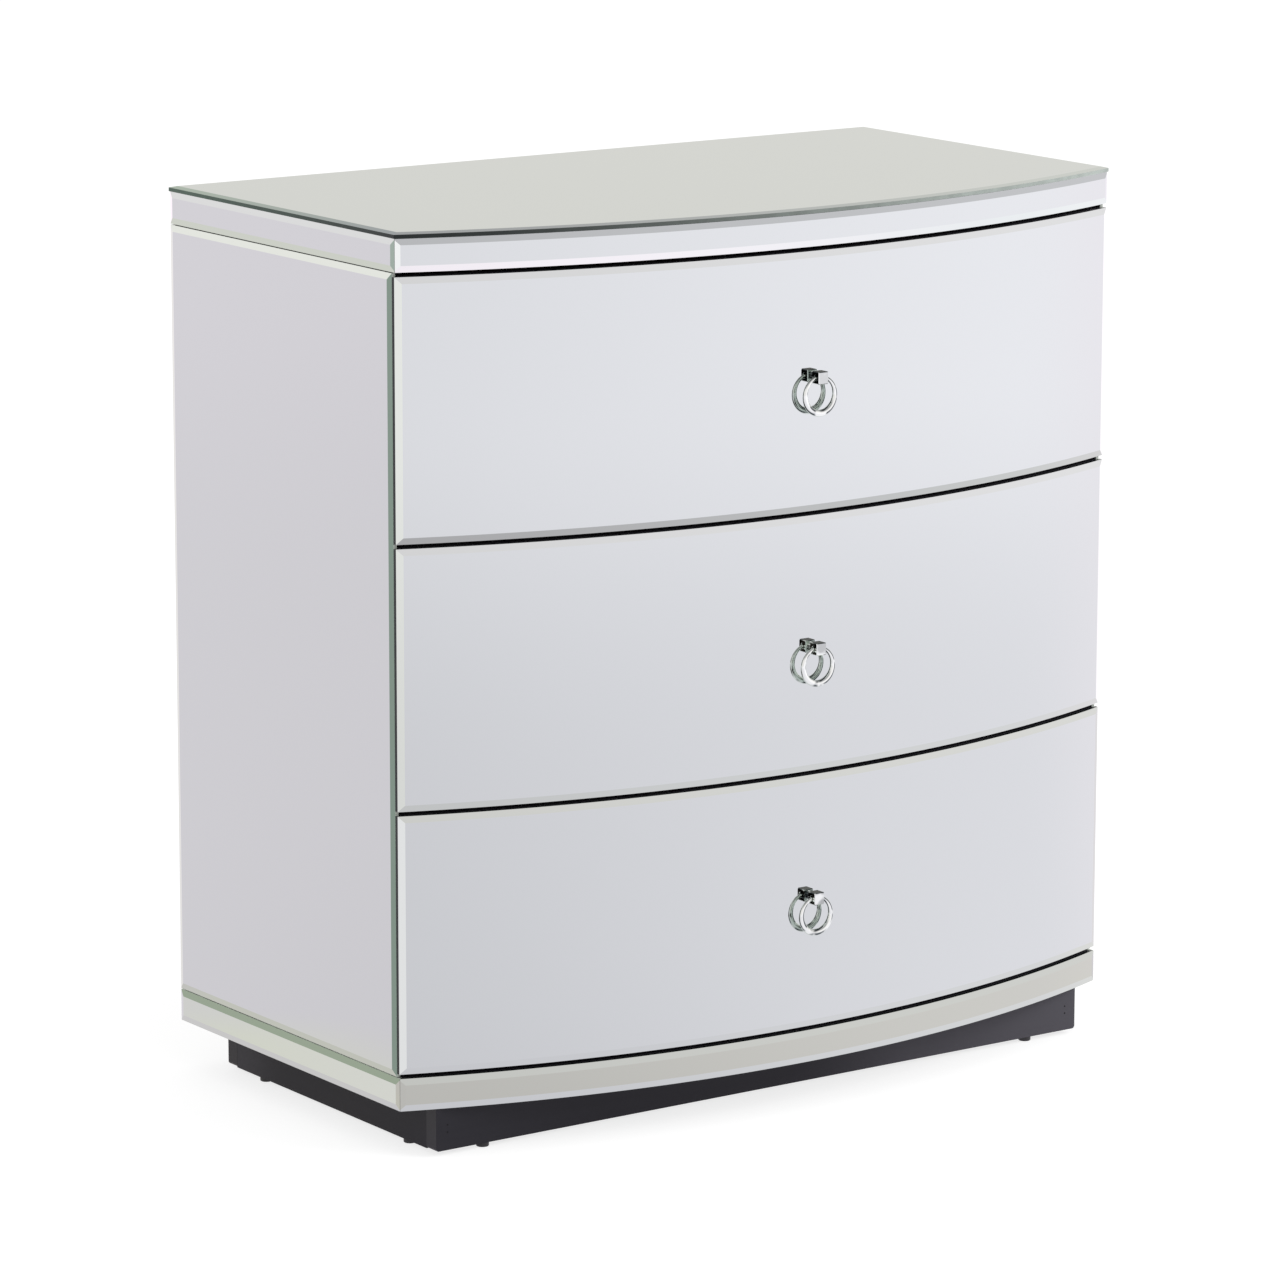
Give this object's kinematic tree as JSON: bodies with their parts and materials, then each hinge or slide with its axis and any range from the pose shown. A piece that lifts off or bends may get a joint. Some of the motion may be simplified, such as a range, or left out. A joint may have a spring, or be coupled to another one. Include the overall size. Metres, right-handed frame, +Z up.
{
  "type": "bow-front mirrored chest of drawers",
  "caption": "Free-standing chest with a bowed front, faced with bevelled mirror glass, with ring-pull drawers on telescopic runners and a dark recessed plinth.",
  "frame": {"origin": "on the floor, under the middle of the whole chest, pulls included", "axes": "+Z up, +Y towards the back, so the bowed front faces -Y, +X to the right seen from the front"},
  "size_m": [0.813, 0.477, 0.85],
  "materials": {
    "mirror_glass": "silvered float glass with polished bevels",
    "top_mirror_glass": "silvered float glass, bevelled, dark green ground edge",
    "dark_board": "board with a near-black satin paint",
    "plinth_board": "charcoal satin paint on board",
    "drawer_wood": "clear-lacquered light plywood",
    "back_board": "thin dark-faced board",
    "runner_steel": "bright zinc-plated steel",
    "pull_chrome": "polished chrome",
    "fastener_steel": "zinc-plated steel",
    "glide_plastic": "black moulded nylon"
  },
  "bodies": {
    "root": {"side_mirror_left": "mirror_glass", "side_mirror_right": "mirror_glass", "bottom_band_mirror_front": "mirror_glass", "bottom_band_mirror_left": "mirror_glass", "bottom_band_mirror_right": "mirror_glass", "top_band_mirror_front": "mirror_glass", "top_band_mirror_left": "mirror_glass", "top_band_mirror_right": "mirror_glass", "top_mirror": "top_mirror_glass", "bottom_board": "dark_board", "top_board": "dark_board", "side_panel_left": "dark_board", "side_panel_right": "dark_board", "bottom_rail": "dark_board", "top_rail": "dark_board", "divider_rail_lower": "dark_board", "divider_rail_upper": "dark_board", "back_panel": "back_board", "back_panel_screws": "fastener_steel", "plinth_front": "plinth_board", "plinth_back": "plinth_board", "plinth_left": "plinth_board", "plinth_right": "plinth_board", "plinth_corner_blocks": "plinth_board", "floor_glides": "glide_plastic", "upper_cabinet_rails": "runner_steel", "middle_cabinet_rails": "runner_steel", "lower_cabinet_rails": "runner_steel"},
    "upper_drawer": {"upper_drawer_mirror": "mirror_glass", "upper_drawer_front": "dark_board", "upper_drawer_sides": "drawer_wood", "upper_drawer_back": "drawer_wood", "upper_drawer_bottom": "drawer_wood", "upper_drawer_rails": "runner_steel", "upper_pull_post": "pull_chrome", "upper_pull_nut": "fastener_steel"},
    "upper_intermediate": {"upper_intermediate_rails": "runner_steel"},
    "upper_ring": {"upper_pull_ring": "pull_chrome"},
    "middle_drawer": {"middle_drawer_mirror": "mirror_glass", "middle_drawer_front": "dark_board", "middle_drawer_sides": "drawer_wood", "middle_drawer_back": "drawer_wood", "middle_drawer_bottom": "drawer_wood", "middle_drawer_rails": "runner_steel", "middle_pull_post": "pull_chrome", "middle_pull_nut": "fastener_steel"},
    "middle_intermediate": {"middle_intermediate_rails": "runner_steel"},
    "middle_ring": {"middle_pull_ring": "pull_chrome"},
    "lower_drawer": {"lower_drawer_mirror": "mirror_glass", "lower_drawer_front": "dark_board", "lower_drawer_sides": "drawer_wood", "lower_drawer_back": "drawer_wood", "lower_drawer_bottom": "drawer_wood", "lower_drawer_rails": "runner_steel", "lower_pull_post": "pull_chrome", "lower_pull_nut": "fastener_steel"},
    "lower_intermediate": {"lower_intermediate_rails": "runner_steel"},
    "lower_ring": {"lower_pull_ring": "pull_chrome"}
  },
  "joints": [
    {"name": "upper_drawer_slide", "type": "slide", "parent": "root", "child": "upper_drawer", "axis": [0, -1, 0], "range_m": [0, 0.34]},
    {"name": "upper_intermediate_slide", "type": "slide", "parent": "root", "child": "upper_intermediate", "axis": [0, -1, 0], "range_m": [0, 0.17]},
    {"name": "upper_ring_hinge", "type": "hinge", "parent": "upper_drawer", "child": "upper_ring", "pos_m": [0, -0.233, 0.6951], "axis": [-1, 0, 0], "range_deg": [-7.5, 187.5]},
    {"name": "middle_drawer_slide", "type": "slide", "parent": "root", "child": "middle_drawer", "axis": [0, -1, 0], "range_m": [0, 0.34]},
    {"name": "middle_intermediate_slide", "type": "slide", "parent": "root", "child": "middle_intermediate", "axis": [0, -1, 0], "range_m": [0, 0.17]},
    {"name": "middle_ring_hinge", "type": "hinge", "parent": "middle_drawer", "child": "middle_ring", "pos_m": [0, -0.233, 0.4425], "axis": [-1, 0, 0], "range_deg": [-7.5, 187.5]},
    {"name": "lower_drawer_slide", "type": "slide", "parent": "root", "child": "lower_drawer", "axis": [0, -1, 0], "range_m": [0, 0.34]},
    {"name": "lower_intermediate_slide", "type": "slide", "parent": "root", "child": "lower_intermediate", "axis": [0, -1, 0], "range_m": [0, 0.17]},
    {"name": "lower_ring_hinge", "type": "hinge", "parent": "lower_drawer", "child": "lower_ring", "pos_m": [0, -0.233, 0.2059], "axis": [-1, 0, 0], "range_deg": [-7.5, 187.5]}
  ],
  "couplings": [
    {"joint": "upper_intermediate_slide", "follows": "upper_drawer_slide", "ratio": 0.5},
    {"joint": "middle_intermediate_slide", "follows": "middle_drawer_slide", "ratio": 0.5},
    {"joint": "lower_intermediate_slide", "follows": "lower_drawer_slide", "ratio": 0.5}
  ]
}
